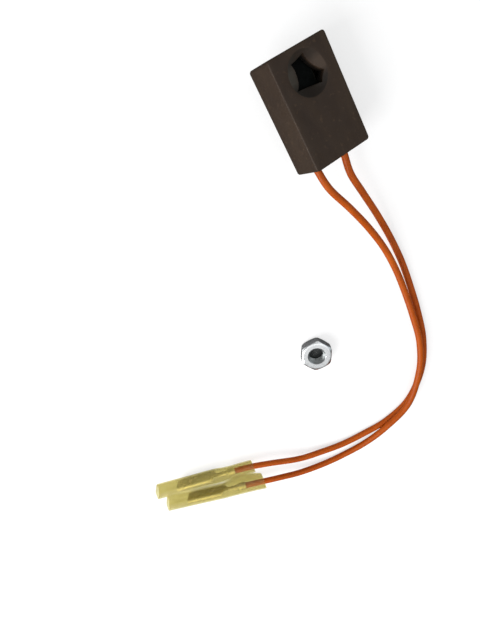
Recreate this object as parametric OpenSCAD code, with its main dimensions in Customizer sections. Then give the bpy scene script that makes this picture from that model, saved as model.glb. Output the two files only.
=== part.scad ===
// Radiant flame sensor: a moulded housing with a round viewing port, a stud on its
// rear face, and two flying leads that end in sleeved push-on receptacles.
// Origin: where the axis of the stud meets the mounting (rear) face of the housing.
// +Z is up, the long side of the housing runs along Y with the port at the +Y end,
// and the housing is propped on its stud, turned by prop_tilt about Y.
// Housing parts are drawn untilted: rear face at z = 0, port face at z = housing_d.

/* [Housing] */
// Width of the housing across the port
housing_w = 18.2; // [17.8:0.1:19]
// Length of the housing along the leads' direction
housing_l = 28.8; // [28.4:0.1:30]
// Depth of the housing from the mounting face to the port face
housing_d = 9.8; // [9.6:0.1:11]
// Radius on the four long corners
corner_r = 0.8; // [0.4:0.1:1.2]
// Thickness of the side walls
wall_t = 1.3; // [1.1:0.1:1.4]
// Turn of the housing about its long side as it lies on the stud
prop_tilt = 27.8; // [0:0.1:35]

/* [Port] */
// Radius of the round mouth
port_r = 5.75; // [5.4:0.05:6]
// Distance from the stud's axis to the port's centre
port_y = 11.5; // [11:0.1:11.8]
// Fall of the dished mouth for each millimetre inwards
port_dish = 0.35; // [0.3:0.05:0.4]
// Size of the throat against its nominal outline
throat_size = 1.0; // [0.9:0.05:1.0]

/* [Mounting hardware] */
// Radius of the stud over its thread
stud_r = 2.74; // [2.6:0.01:2.8]
// Length of the stud beyond the mounting face
stud_len = 6; // [4:0.5:9]
// Width of the nut across its flats
nut_flats = 9.525; // [9:0.005:10]
// Thickness of the nut
nut_t = 3.7; // [3:0.1:4.4]
// Radius of the nut's threaded hole
nut_bore_r = 2.3; // [2.2:0.01:2.4]
// Place of the loose nut beside the lead
nut_at = [-27.5, -65.97];

/* [Contacts] */
// Thickness of the bimetal sensing blade
blade_t = 0.25; // [0.15:0.05:0.3]
// Thickness of the spring contact arm
arm_t = 0.2; // [0.15:0.05:0.2]
// Radius of the moving contact; the fixed one is slightly larger
contact_r = 1.1; // [0.9:0.1:1.3]

/* [Leads] */
// Outer radius of the silicone insulation
lead_r = 1.025; // [0.98:0.005:1.03]
// Radius of the hole down the insulation
lead_bore_r = 0.55; // [0.52:0.01:0.6]
// Radius of the stranded conductor
core_r = 0.48; // [0.4:0.01:0.5]
// Distance of lead_a from the housing's centre line
lead_a_offset = 5.0; // [4.8:0.1:5.1]
// Distance of lead_b from the housing's centre line
lead_b_offset = 4.7; // [4.6:0.1:4.9]
// Height of each lead above the mounting face
lead_height = 3.0; // [2.9:0.1:3.1]
// Gap left in each lead where it flexes
flex_gap = 1.2; // [0.8:0.1:1.6]

/* [Receptacles] */
// Width of the receptacle over its rolled edges
recept_w = 5.5; // [5.3:0.1:5.5]
// Thickness of the receptacle
recept_t = 1.9; // [1.7:0.1:1.9]
// Length of the receptacle, without its crimps
recept_len = 14.3; // [12:0.1:14.5]
// Width of the tab that it takes
tab_w = 4.75; // [4.7:0.01:4.8]
// Length of the insulating sleeve
sleeve_len = 36.8; // [36:0.2:38]
// Distance the sleeve stands beyond the receptacle
sleeve_over = 8.2; // [7:0.2:8.4]
// Wall of the insulating sleeve
sleeve_wall = 0.35; // [0.3:0.05:0.35]
// Lean of each sleeve as it stands on its narrow edge
sleeve_lean = 10; // [0:1:14]

/* [Hidden] */
$fn = 64;

spacer_color = "#d8cfb4";
strip_color = "#c8a24b";
contact_color = "#d9dadb";
ferrule_color = "#d0b060";
lead_color = "#b5480f";
conductor_color = "#c7834a";
terminal_color = "#d8c06a";
sleeve_color = "#cfc67a";

// Housing
lead_end_y = -10.3;               // outer face of the end wall that the leads pass
mid_y = lead_end_y + housing_l / 2;
cover_t = 1.6;
front_t = 2.8;                    // front wall, where the port goes through
end_wall_t = 1.5;
roof_z = housing_d - front_t;     // inside face of the front wall
cavity_w = housing_w - 2 * wall_t;
cavity_l = housing_l - 2 * end_wall_t;
dish_floor_r = 2.3;
dish_depth = (port_r - dish_floor_r) * port_dish;
lead_hole_r = lead_r + 0.1;
lead_x = [-lead_a_offset, lead_b_offset];

// Cover screws and the bosses they enter
boss_x = cavity_w / 2 - 1.65;
boss_y = [lead_end_y + 9.3, lead_end_y + housing_l - end_wall_t - 1.8];
boss_r = 1.25;
screw_shank_r = 0.7;
screw_head_r = 1.1;
screw_head_top = 0.9;             // seat of the head, above the mounting face

// Stud and nut
stud_head_flats = 7.6;
stud_head_z = cover_t - 0.78;
stud_collar_r = stud_r + 0.19;
stud_taper = 0.5;                 // length of the tapered tip
stud_tip_r = stud_r - 0.74;
nut_turn = 61.77;
nut_bevel = 0.5;                  // height of the bevel on the corners
nut_sink_r = stud_r + 0.25;       // countersink at each end of the bore
nut_sink_depth = 0.6;
bench_z = -(stud_len * cos(prop_tilt) + stud_tip_r * sin(prop_tilt));

// Pile of blades and spacers
stack_y = -5;
stack_l = 3.2;
stack_w = 7.2;
root_inset = 0.2;                 // a moving blade's root stands this far inside the pile
rivet_x = 2.2;
rivet_shank_r = 0.7;
rivet_head_r = 1.15;
rivet_end_z = 8.2;
plate_hole_r = rivet_shank_r + 0.02;
root_hole_r = rivet_shank_r + 0.12;
blade_gap = 0.08;                 // clearance each side of a blade that moves

// Heights in the pile, from the mounting face to the port face
rivet_head_z = 1.7;
rear_spacer_z = 2.1;
terminal_z = 2.5;
terminal_top = 2.8;
arm_z = terminal_top + blade_gap;
arm_top = arm_z + arm_t;
mid_spacer_z = arm_top + blade_gap;
fixed_z = 4.1;
front_spacer_z = 4.4;
front_spacer_top = 6.1;
blade_z = front_spacer_top + blade_gap;
pad_z = blade_z + blade_t + blade_gap;

// Tag on each strip, which its ferrule is welded to
tag_size = [3.2, 2.2];
tag_reach = 6;                    // from the centre line to the tag's end
tag_y = -5.6;
tongue_t = 0.4;

arm_w = 3.2;
blade_neck_w = 4.4;
fixed_strip_w = 4.4;
cal_at = [4.3, 6];                // calibration screw
cal_r = 0.95;
cal_z = 0.3;
pin_y = 3;                        // pusher pin
pin_r = 0.7;
contact_y = 8;
moving_contact_t = 0.47;
fixed_contact_z = arm_top + 0.49;

// Receptacle stations, measured from the sleeve's wire end
recept_front = sleeve_len - sleeve_over;
recept_back = recept_front - recept_len;
insulation_stop = recept_back - 5.2;
recept_sheet_t = 0.35;

// ---------------------------------------------------------------- shared shapes
module on_block() rotate([0, prop_tilt, 0]) children();

module at_cover_screws() for (x = [-1, 1], y = boss_y)
    translate([x * boss_x, y, 0]) children();

module at_rivets(z) for (x = [-1, 1])
    translate([x * rivet_x, stack_y, z]) children();

// Rounded rectangle of true arcs
module rounded_rect(width, length, radius) {
    union() {
        square([width - 2 * radius, length], center = true);
        square([width, length - 2 * radius], center = true);
        for (x = [-1, 1], y = [-1, 1])
            translate([x * (width / 2 - radius), y * (length / 2 - radius)]) circle(radius);
    }
}

module slab(width, length, bottom, top, radius)
    translate([0, 0, bottom])
        linear_extrude(top - bottom) rounded_rect(width, length, radius);

// Regular hexagonal prism, given its width across flats
module hex(flats, height) cylinder(r = flats / sqrt(3), h = height, $fn = 6);

// ---------------------------------------------------------------- port throat
// Five points joined by petals that bulge inwards as true arcs, seen from the front.
// Direction and distance of a point, then those of the middle of the petal after it.
throat_points = [
    [77, 4.7, 103, 4.1],
    [133, 4.9, 176, 2.6],
    [208, 5.4, 266, 2.98],
    [310, 4.6, 328, 4.4],
    [346, 5.0, 28, 2.95]];

function throat_pt(angle, distance) = throat_size * distance * [cos(angle), sin(angle)];

// Centre of the circle through three points
function arc_centre(start, middle, end) =
    let (start_sq = start * start, middle_sq = middle * middle, end_sq = end * end,
        scale = 2 * (start.x * (middle.y - end.y) + middle.x * (end.y - start.y)
            + end.x * (start.y - middle.y)))
    [(start_sq * (middle.y - end.y) + middle_sq * (end.y - start.y)
            + end_sq * (start.y - middle.y)) / scale,
     (start_sq * (end.x - middle.x) + middle_sq * (start.x - end.x)
            + end_sq * (middle.x - start.x)) / scale];

module throat() {
    count = len(throat_points);
    difference() {
        polygon([for (row = throat_points) throat_pt(row[0], row[1])]);
        for (k = [0:count - 1]) {
            row = throat_points[k];
            next = throat_points[(k + 1) % count];
            start = throat_pt(row[0], row[1]);
            centre = arc_centre(start, throat_pt(row[2], row[3]), throat_pt(next[0], next[1]));
            translate(centre) circle(norm(start - centre), $fn = 96);
        }
    }
}

// ---------------------------------------------------------------- housing
module cavity() difference() {
    translate([0, mid_y, 0]) slab(cavity_w, cavity_l, -1, roof_z, 0.5);
    // screw bosses stand on the inside of the front wall
    at_cover_screws() translate([0, 0, cover_t + 0.02]) cylinder(r = boss_r, h = roof_z);
    // pad that the blade pile is riveted to
    pile_plate(pad_z, roof_z + 1);
}

module housing() {
    color("#35291f") on_block() difference() {
        translate([0, mid_y, 0]) slab(housing_w, housing_l, 0, housing_d, corner_r);
        cavity();
        at_cover_screws() cylinder(r = screw_shank_r + 0.01, h = 5.6);
        at_rivets(pad_z - 1)
            cylinder(r = rivet_shank_r + 0.01, h = rivet_end_z + 0.1 - pad_z + 1);
        // dished mouth, then the throat
        translate([0, port_y, housing_d - dish_depth])
            cylinder(r1 = dish_floor_r, r2 = port_r, h = dish_depth);
        translate([0, port_y, housing_d - 0.01]) cylinder(r = port_r, h = 1);
        translate([0, port_y, roof_z - 1]) linear_extrude(front_t + 2) throat();
        for (x = lead_x)
            translate([x, lead_end_y - 1, lead_height]) rotate([-90, 0, 0])
                cylinder(r = lead_hole_r, h = end_wall_t + 2);
    }
}

module rear_cover() {
    color("#3d3128") on_block() difference() {
        translate([0, mid_y, 0]) slab(cavity_w - 0.1, cavity_l - 0.1, 0, cover_t, 0.45);
        cylinder(r = stud_collar_r + 0.02, h = 20, center = true);
        // recess for the stud's head
        translate([0, 0, stud_head_z - 0.02]) hex(stud_head_flats + 0.1, 2);
        translate([cal_at.x, cal_at.y, -1]) cylinder(r = cal_r + 0.05, h = 4);
        at_cover_screws() {
            translate([0, 0, -1]) cylinder(r = screw_shank_r + 0.1, h = 4);
            translate([0, 0, -1]) cylinder(r = screw_head_r + 0.1, h = screw_head_top + 1);
        }
    }
}

module cover_screws() {
    head_z = 0.12;
    color("#8d8f90") on_block() at_cover_screws() difference() {
        union() {
            translate([0, 0, head_z]) cylinder(r = screw_head_r, h = screw_head_top - head_z);
            translate([0, 0, 0.5]) cylinder(r = screw_shank_r, h = 4.7);
        }
        // driver slot
        translate([0, 0, 0.1]) cube([3, 0.3, 0.7], center = true);
    }
}

module mounting_stud() {
    color("#c9cbcd") on_block() union() {
        translate([0, 0, stud_head_z]) hex(stud_head_flats, 0.76);
        cylinder(r = stud_collar_r, h = cover_t - 0.4);
        translate([0, 0, stud_taper - stud_len]) cylinder(r = stud_r, h = stud_len - stud_taper);
        translate([0, 0, -stud_len]) cylinder(r1 = stud_tip_r, r2 = stud_r, h = stud_taper);
    }
}

// Loose nut that lies on the bench
module mounting_nut() {
    face_r = nut_flats / 2 * 0.93;
    corner = nut_flats / sqrt(3) - 0.25;
    color("#e3e5e6") translate([nut_at.x, nut_at.y, bench_z]) rotate(nut_turn) difference() {
        intersection() {
            hex(nut_flats, nut_t);
            union() {
                cylinder(r1 = face_r, r2 = corner, h = nut_bevel);
                translate([0, 0, nut_bevel]) cylinder(r = corner, h = nut_t - 2 * nut_bevel);
                translate([0, 0, nut_t - nut_bevel])
                    cylinder(r1 = corner, r2 = face_r, h = nut_bevel);
            }
        }
        translate([0, 0, -1]) cylinder(r = nut_bore_r, h = nut_t + 2);
        translate([0, 0, -0.01]) cylinder(r1 = nut_sink_r, r2 = nut_bore_r, h = nut_sink_depth);
        translate([0, 0, nut_t - nut_sink_depth + 0.01])
            cylinder(r1 = nut_bore_r, r2 = nut_sink_r, h = nut_sink_depth);
    }
}

// ---------------------------------------------------------------- blade pile
module rivet_holes(radius) at_rivets(-5) cylinder(r = radius, h = 20);

module pile_plate(bottom, top)
    translate([0, stack_y, 0]) slab(stack_w, stack_l, bottom, top, 0.3);

module spacer(bottom, top) difference() {
    pile_plate(bottom, top);
    rivet_holes(plate_hole_r);
}

module spacer_rear() color(spacer_color) on_block() spacer(rear_spacer_z, terminal_z);
module spacer_middle() color(spacer_color) on_block() spacer(mid_spacer_z, fixed_z);
module spacer_front() color(spacer_color) on_block() spacer(front_spacer_z, front_spacer_top);

module stack_rivets() {
    shank_z = rivet_head_z + 0.2;
    color("#b8a06a") on_block() at_rivets(0) union() {
        translate([0, 0, rivet_head_z])
            cylinder(r = rivet_head_r, h = rear_spacer_z - rivet_head_z);
        translate([0, 0, shank_z]) cylinder(r = rivet_shank_r, h = rivet_end_z - shank_z);
    }
}

module terminal_strip() {
    thickness = terminal_top - terminal_z;
    color(strip_color) on_block() difference() {
        union() {
            pile_plate(terminal_z, terminal_top);
            translate([-tag_reach, tag_y, terminal_z]) cube([tag_size.x, tag_size.y, thickness]);
        }
        rivet_holes(plate_hole_r);
    }
}

// Outline of a moving blade where the pile holds it
module blade_root() translate([0, stack_y])
    square([stack_w - 2 * root_inset, stack_l - 2 * root_inset], center = true);

module contact_arm() {
    color("#c9a15a") on_block() translate([0, 0, arm_z]) difference() {
        linear_extrude(arm_t) union() {
            blade_root();
            translate([-arm_w / 2, stack_y]) square([arm_w, contact_y - stack_y]);
            translate([0, contact_y]) circle(arm_w / 2);
        }
        rivet_holes(root_hole_r);
    }
}

module moving_contact() {
    color(contact_color) on_block() translate([0, contact_y, arm_top])
        cylinder(r = contact_r, h = moving_contact_t);
}

module fixed_contact() {
    color(contact_color) on_block() translate([0, contact_y, fixed_contact_z])
        cylinder(r = contact_r + 0.1, h = fixed_z - fixed_contact_z);
}

module fixed_contact_strip() {
    half_w = fixed_strip_w / 2;
    ear_w = 2.2;                  // ear over the calibration screw
    color(strip_color) on_block() translate([0, 0, fixed_z]) difference() {
        linear_extrude(front_spacer_z - fixed_z) difference() {
            union() {
                translate([0, stack_y]) rounded_rect(stack_w, stack_l, 0.3);
                translate([tag_reach - tag_size.x, tag_y]) square(tag_size);
                translate([-half_w, stack_y]) square([fixed_strip_w, contact_y - stack_y]);
                translate([0, contact_y]) circle(half_w);
                translate([0, cal_at.y - ear_w / 2]) square([5.4, ear_w]);
            }
            translate([0, pin_y]) circle(pin_r + 0.5);
        }
        rivet_holes(plate_hole_r);
    }
}

module calibration_screw() {
    color("#a98f4a") on_block() translate([cal_at.x, cal_at.y, 0]) difference() {
        translate([0, 0, cal_z]) cylinder(r = cal_r, h = fixed_z - 0.05 - cal_z);
        translate([0, 0, cal_z]) cube([3, 0.35, 0.8], center = true);
    }
}

module sensing_blade() {
    color("#26262a") on_block() translate([0, 0, blade_z]) difference() {
        linear_extrude(blade_t) union() {
            blade_root();
            translate([-blade_neck_w / 2, stack_y]) square([blade_neck_w, 12]);
            // broad part beneath the port
            translate([0, 10.6]) rounded_rect(7.2, 10.8, 0.8);
        }
        rivet_holes(root_hole_r);
    }
}

module pusher_pin() {
    bottom = arm_top + 0.03;
    color("#ece6d6") on_block() translate([0, pin_y, bottom])
        cylinder(r = pin_r, h = blade_z - bottom);
}

// Crimp barrel with a tongue that is welded to its strip
module ferrule(x, tongue_z) {
    tongue_w = 2.2;
    difference() {
        union() {
            translate([x, -7.9, lead_height]) rotate([-90, 0, 0]) cylinder(r = 1.0, h = 2);
            translate([x - tongue_w / 2, -6.1, tongue_z]) cube([tongue_w, 2.5, tongue_t]);
        }
        translate([x, -9, lead_height]) rotate([-90, 0, 0])
            cylinder(r = core_r + 0.02, h = 2.95);
    }
}
module ferrule_a() color(ferrule_color) on_block() ferrule(lead_x[0], terminal_top);
module ferrule_b() color(ferrule_color) on_block() ferrule(lead_x[1], fixed_z - tongue_t);

// ---------------------------------------------------------------- lead paths
// Each lead is a smooth curve through control points: out of the housing, down to
// the bench beside its neighbour, lead_a over lead_b, then apart to the receptacles.
lie = bench_z + lead_r + 0.02;    // centre height of a lead that lies on the bench
over = lie + 2 * lead_r + 0.04;   // centre height of a lead that lies on the other one
sleeve_z = bench_z + 3.66;        // middle of a sleeve that stands on its edge

// Wire end of each sleeve, and the direction it points in
end_a = [-65.9, -103.1, sleeve_z];
end_b = [-66.2, -95.2, sleeve_z];
turn_a = 168.0;
turn_b = 170.3;

// Control points between the housing and the sleeve: x, y, z
bends_a = [
    [-2.1, -17.5, 4.2], [0.8, -25.3, 2.4], [3.4, -33.4, 0.4], [5.3, -42, -1.3],
    [6.0, -50.5, -2.5], [5.8, -59, over], [5.1, -67.5, over], [3.7, -77.2, over],
    [-0.2, -87.2, over], [-7.8, -97.2, over + 0.03], [-17.8, -102.45, over - 0.02],
    [-27, -106.1, lie + 0.9], [-36.4, -107.9, lie + 0.1], [-44.5, -107.9, lie + 0.5],
    [-53.0, -106.5, lie + 1.6]];
bends_b = [
    [5.05, -17.3, -0.4], [6.15, -24.3, -1.75], [7.5, -32.3, -3.4], [8.5, -41, -4.7],
    [8.8, -50, lie], [8.25, -58.7, lie], [7.3, -67.5, lie], [5.35, -77.8, lie],
    [0.95, -88.1, lie], [-7.2, -97.1, lie], [-16.9, -101.5, lie], [-26, -102.9, lie],
    [-34.5, -103.3, lie + 0.3], [-42, -102.5, lie + 0.8], [-50.6, -100.95, lie + 1.5]];

start_step = 3.5;                 // spacing of the control points at the housing
end_step = 8;                     // spacing of the control points in the receptacle

// A point of the untilted housing, where it lies once the housing is propped
function propped(x, y, z) = [
    x * cos(prop_tilt) + z * sin(prop_tilt), y,
    -x * sin(prop_tilt) + z * cos(prop_tilt)];
function along(end, turn, distance) = end + distance * [cos(turn), sin(turn), 0];

// side_shift moves the last control point before the sleeve along Y
function lead_path(x, bends, end, turn, side_shift) = [
    for (k = [0:2]) propped(x, -4 - start_step * k, lead_height),
    each bends,
    along(end, turn, -6) + [0, side_shift, 0],
    along(end, turn, 1.5),
    for (k = [0:2]) along(end, turn, insulation_stop + end_step * k)];

path_a = lead_path(lead_x[0], bends_a, end_a, turn_a, 0);
path_b = lead_path(lead_x[1], bends_b, end_b, turn_b, -0.8);

// Point and direction on the curve at t, which counts control points from the start
function span(path, t) = min(len(path) - 3, max(1, floor(t)));
function spline(path, t) = let (i = span(path, t), part = t - i,
        before = path[i - 1], from = path[i], to = path[i + 1], after = path[i + 2])
    0.5 * (2 * from + part * (to - before)
        + part * part * (2 * before - 5 * from + 4 * to - after)
        + part * part * part * (3 * from - before - 3 * to + after));
function slope(path, t) = let (i = span(path, t), part = t - i,
        before = path[i - 1], from = path[i], to = path[i + 1], after = path[i + 2])
    0.5 * ((to - before)
        + 2 * part * (2 * before - 5 * from + 4 * to - after)
        + 3 * part * part * (3 * from - before - 3 * to + after));

// ---------------------------------------------------------------- skins
function unit(v) = v / norm(v);

// One ring of points round the curve
function ring(path, t, radius, sides) =
    let (centre = spline(path, t), ahead = unit(slope(path, t)),
        across = unit(cross(ahead, [0, 0, 1])), up = cross(across, ahead))
    [for (j = [0:sides - 1]) let (angle = 360 * j / sides)
        centre + radius * (cos(angle) * across + sin(angle) * up)];

// Points of evenly spaced rings between two places on the curve
function ring_points(path, from, to, rings, radius, sides) =
    [for (i = [0:rings - 1]) each ring(path, from + (to - from) * i / (rings - 1), radius, sides)];

function reversed(faces) = [for (face = faces) [face[2], face[1], face[0]]];

// Triangles between successive rings of points, the first of which is at index base
function skin(base, rings, sides) =
    [for (i = [0:rings - 2], j = [0:sides - 1])
        let (here = base + i * sides + j, next = base + i * sides + (j + 1) % sides)
        each [[here, next, next + sides], [here, next + sides, here + sides]]];

// Tube between outer and inner rings; flip is for rings wound the other way
module hollow(outer, inner, sides, flip = false) {
    rings = len(outer) / sides;
    inside = len(outer);
    last = inside - sides;
    ends = [for (j = [0:sides - 1]) let (k = (j + 1) % sides) each [
        [j, inside + j, inside + k],
        [j, inside + k, k],
        [last + j, last + k, inside + last + k],
        [last + j, inside + last + k, inside + last + j]]];
    faces = concat(skin(0, rings, sides), reversed(skin(inside, rings, sides)), ends);
    polyhedron(concat(outer, inner), flip ? reversed(faces) : faces, convexity = 10);
}

module solid(points, sides) {
    rings = len(points) / sides;
    last = len(points) - sides;
    ends = [for (j = [1:sides - 2]) each [[0, j + 1, j], [last, last + j, last + j + 1]]];
    polyhedron(points, concat(skin(0, rings, sides), ends), convexity = 10);
}

// ---------------------------------------------------------------- leads
// Each lead is in three parts, numbered 0 to 2 from the housing, with a gap at each of
// these control points: the first is beside its neighbour, the second on its own.
flex_at = [10, 15];
insulation_start = 1 + 0.5 / start_step;         // just inside the end wall
core_start = 1 - 1.2 / start_step + 0.02;        // the conductor runs on into its ferrule
insulation_end = 20;                             // insulation stops in its crimp
core_end = insulation_end + 4 / end_step;
insulation_rings = [28, 17, 14];
core_rings = [28, 17, 15];
insulation_sides = 12;
core_sides = 8;

function half_gap(path, t) = flex_gap / 2 / norm(slope(path, t));
function part_from(path, part, start) =
    part == 0 ? start : flex_at[part - 1] + half_gap(path, flex_at[part - 1]);
function part_to(path, part, end) =
    part == 2 ? end : flex_at[part] - half_gap(path, flex_at[part]);

module insulation(path, part) {
    from = part_from(path, part, insulation_start);
    to = part_to(path, part, insulation_end);
    rings = insulation_rings[part];
    hollow(
        ring_points(path, from, to, rings, lead_r, insulation_sides),
        ring_points(path, from, to, rings, lead_bore_r, insulation_sides),
        insulation_sides);
}

module conductor(path, part) {
    from = part_from(path, part, core_start);
    to = part_to(path, part, core_end);
    solid(ring_points(path, from, to, core_rings[part], core_r, core_sides), core_sides);
}

module lead_a() color(lead_color) insulation(path_a, 0);
module lead_b() color(lead_color) insulation(path_b, 0);
module lead_a_tail() color(lead_color) insulation(path_a, 1);
module lead_b_tail() color(lead_color) insulation(path_b, 1);
module lead_a_end() color(lead_color) insulation(path_a, 2);
module lead_b_end() color(lead_color) insulation(path_b, 2);
module conductor_a() color(conductor_color) conductor(path_a, 0);
module conductor_b() color(conductor_color) conductor(path_b, 0);
module conductor_a_tail() color(conductor_color) conductor(path_a, 1);
module conductor_b_tail() color(conductor_color) conductor(path_b, 1);
module conductor_a_end() color(conductor_color) conductor(path_a, 2);
module conductor_b_end() color(conductor_color) conductor(path_b, 2);

// ---------------------------------------------------------------- receptacles
// Receptacles and sleeves are drawn along +X from the sleeve's wire end, standing on edge:
// thickness along Y and width along Z.
module at_sleeve(end, turn)
    translate(end) rotate([0, 0, turn]) rotate([sleeve_lean, 0, 0]) children();

// Extrudes a profile, whose x and y become Y and Z, between two places along X
module along_x(from, to)
    translate([from, 0, 0]) rotate([90, 0, 90]) linear_extrude(to - from) children();

// Push-on receptacle: rolled edges over a flat floor, then two crimps
module receptacle() {
    insulation_fit_r = lead_r + 0.03;
    union() {
        difference() {
            along_x(recept_back, recept_front) difference() {
                rounded_rect(recept_t, recept_w, 0.85);
                rounded_rect(recept_t - 2 * recept_sheet_t, tab_w + 0.05, 0.55);
                // opening between the rolled edges
                translate([0.6, 0]) square([1.2, 1.7], center = true);
            }
            // slanted cut across the neck end
            translate([recept_back - 1, 0, 0]) rotate([0, -20, 0])
                cube([2, 9, 20], center = true);
        }
        // neck and crimp floor, relieved for the insulation and the conductor
        difference() {
            along_x(recept_back - 7.6, recept_back + 2.2)
                translate([-0.78, 0]) square([0.34, 2.2], center = true);
            along_x(recept_back - 8, recept_back - 4.6) circle(insulation_fit_r);
            along_x(recept_back - 5.2, recept_back - 0.8) circle(core_r + 0.02);
        }
        // conductor crimp
        along_x(recept_back - 4.2, recept_back - 1.2) difference() {
            circle(0.88);
            circle(core_r + 0.015);
        }
        // insulation crimp
        along_x(recept_back - 7.6, recept_back - 5.0) difference() {
            circle(lead_r + 0.27);
            circle(insulation_fit_r);
        }
    }
}
module terminal_a() color(terminal_color) at_sleeve(end_a, turn_a) receptacle();
module terminal_b() color(terminal_color) at_sleeve(end_b, turn_b) receptacle();

// Stations of a sleeve: distance from the wire end, width, thickness, rise, sideways shift.
// sleeve_a (big = 1) is rounder over its wire end than sleeve_b (big = 0).
function sleeve_stations(big) = [
    [0, 4.5 + 0.9 * big, 3.55 + 0.8 * big, -0.05, -0.2 * big],
    [2, 4.5 + big, 3.6 + 1.35 * big, -0.05, -0.55 * big],
    [5, 4.5 + big, 3.75 + 1.7 * big, -0.05, 0.1 - 0.9 * big],
    [9, 4.6 + 1.1 * big, 3.8 + 1.6 * big, 0.1, 0.15 - 0.95 * big],
    [11.4, 5.2 + 0.8 * big, 3.8 + 1.1 * big, 0.1, 0.15 - 0.75 * big],
    [13.6, 6.5, 3.65 + 0.5 * big, 0, 0.1 - 0.35 * big],
    [15, 6.8, 3.5, 0, 0],
    [19, 6.9, 3.4, 0, 0],
    [26, 6.9, 3.35, 0, 0],
    [sleeve_len, 6.9, 3.35, 0, 0]];
sleeve_sides = 24;
sleeve_squareness = 0.4;          // 1 is an ellipse, less is squarer

function squared(value) = sign(value) * pow(abs(value), sleeve_squareness);

// Squared oval at one station, drawn in by inset on every side
function sleeve_ring(station, inset) =
    [for (j = [0:sleeve_sides - 1]) let (angle = 360 * (j + 0.5) / sleeve_sides) [
        station[0],
        station[4] + (station[2] / 2 - inset) * squared(cos(angle)),
        station[3] + (station[1] / 2 - inset) * squared(sin(angle))]];

module sleeve(big) {
    stations = sleeve_stations(big);
    hollow(
        [for (station = stations) each sleeve_ring(station, 0)],
        [for (station = stations) each sleeve_ring(station, sleeve_wall)],
        sleeve_sides, flip = true);
}
module sleeve_a() color(sleeve_color) at_sleeve(end_a, turn_a) sleeve(1);
module sleeve_b() color(sleeve_color) at_sleeve(end_b, turn_b) sleeve(0);

housing();
rear_cover();
cover_screws();
mounting_stud();
mounting_nut();
calibration_screw();
stack_rivets();
spacer_rear();
spacer_middle();
spacer_front();
terminal_strip();
fixed_contact_strip();
fixed_contact();
contact_arm();
moving_contact();
sensing_blade();
pusher_pin();
ferrule_a();
ferrule_b();
lead_a();
lead_b();
lead_a_tail();
lead_b_tail();
lead_a_end();
lead_b_end();
conductor_a();
conductor_b();
conductor_a_tail();
conductor_b_tail();
conductor_a_end();
conductor_b_end();
terminal_a();
terminal_b();
sleeve_a();
sleeve_b();
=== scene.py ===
# A bimetal switch in a brown phenolic housing, with its mounting nut lying apart and two orange
# leads that end in sleeved brass receptacles. +Z is up. The origin is where the stud meets the
# housing, which leans about Y so that the stud's tip touches the floor. The leads leave the
# housing towards -Y and bend round to -X. Sizes are in mm, and turned into metres by MM.
import math

import bmesh
import bpy
import numpy as np
from mathutils import Matrix, Vector


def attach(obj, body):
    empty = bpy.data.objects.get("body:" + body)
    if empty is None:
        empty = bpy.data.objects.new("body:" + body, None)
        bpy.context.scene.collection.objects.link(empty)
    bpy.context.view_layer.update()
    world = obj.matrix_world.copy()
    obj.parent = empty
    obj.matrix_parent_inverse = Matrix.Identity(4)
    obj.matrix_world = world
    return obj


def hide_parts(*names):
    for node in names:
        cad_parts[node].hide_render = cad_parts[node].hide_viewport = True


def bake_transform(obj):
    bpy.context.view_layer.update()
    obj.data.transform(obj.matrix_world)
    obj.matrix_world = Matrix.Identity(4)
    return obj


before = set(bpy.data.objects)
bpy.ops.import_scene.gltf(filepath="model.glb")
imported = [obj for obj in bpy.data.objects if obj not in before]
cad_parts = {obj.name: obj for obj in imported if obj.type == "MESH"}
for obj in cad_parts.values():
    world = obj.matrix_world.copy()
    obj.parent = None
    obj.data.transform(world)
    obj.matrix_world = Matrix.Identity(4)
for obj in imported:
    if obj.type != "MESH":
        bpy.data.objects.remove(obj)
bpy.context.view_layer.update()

MM = 0.001
TILT = math.radians(27.8)

# Housing coordinates are (across, y, out): out runs from the open rear towards the port's face.
HALF_W, Y_LOW, Y_HIGH = 9.1, -10.3, 18.5
HALF_L, MID_Y = (Y_HIGH - Y_LOW) / 2, (Y_LOW + Y_HIGH) / 2
FACE, ROOF = 9.8, 7.0                       # out: the port's face, the cavity's inner end
CORNER_R = 0.8
PORT_Y, PORT_R = 11.5, 5.75
LEAD_ACROSS = {"a": -5.0, "b": 4.7}
LEAD_OUT = 3.0

STUD_LENGTH, STUD_TIP_R = 6.0, 2.0
PITCH = 0.9                                 # of the stud's and the nut's thread
FLOOR = -(STUD_LENGTH * math.cos(TILT) + STUD_TIP_R * math.sin(TILT))
NUT_X, NUT_Y, NUT_TURN = -27.5, -65.97, math.radians(61.77)


# ------------------------------------------------------------------ mesh helpers
def to_row(points):
    """Housing coordinates to the scene's axes, in mm."""
    across, y, out = np.moveaxis(np.asarray(points, float), -1, 0)
    return np.stack([across * math.cos(TILT) + out * math.sin(TILT), y,
                     -across * math.sin(TILT) + out * math.cos(TILT)], -1)


def circle(count):
    return np.linspace(0, 2 * math.pi, count, endpoint=False)


def ring(angle, radius, z):
    """Points round the z axis; radius and z are single values or one per angle."""
    return np.stack(np.broadcast_arrays(radius * np.cos(angle), radius * np.sin(angle), z), -1)


def smooth(mesh, angle):
    mesh.polygons.foreach_set("use_smooth", [True] * len(mesh.polygons))
    mesh.set_sharp_from_angle(angle=math.radians(angle))


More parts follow.
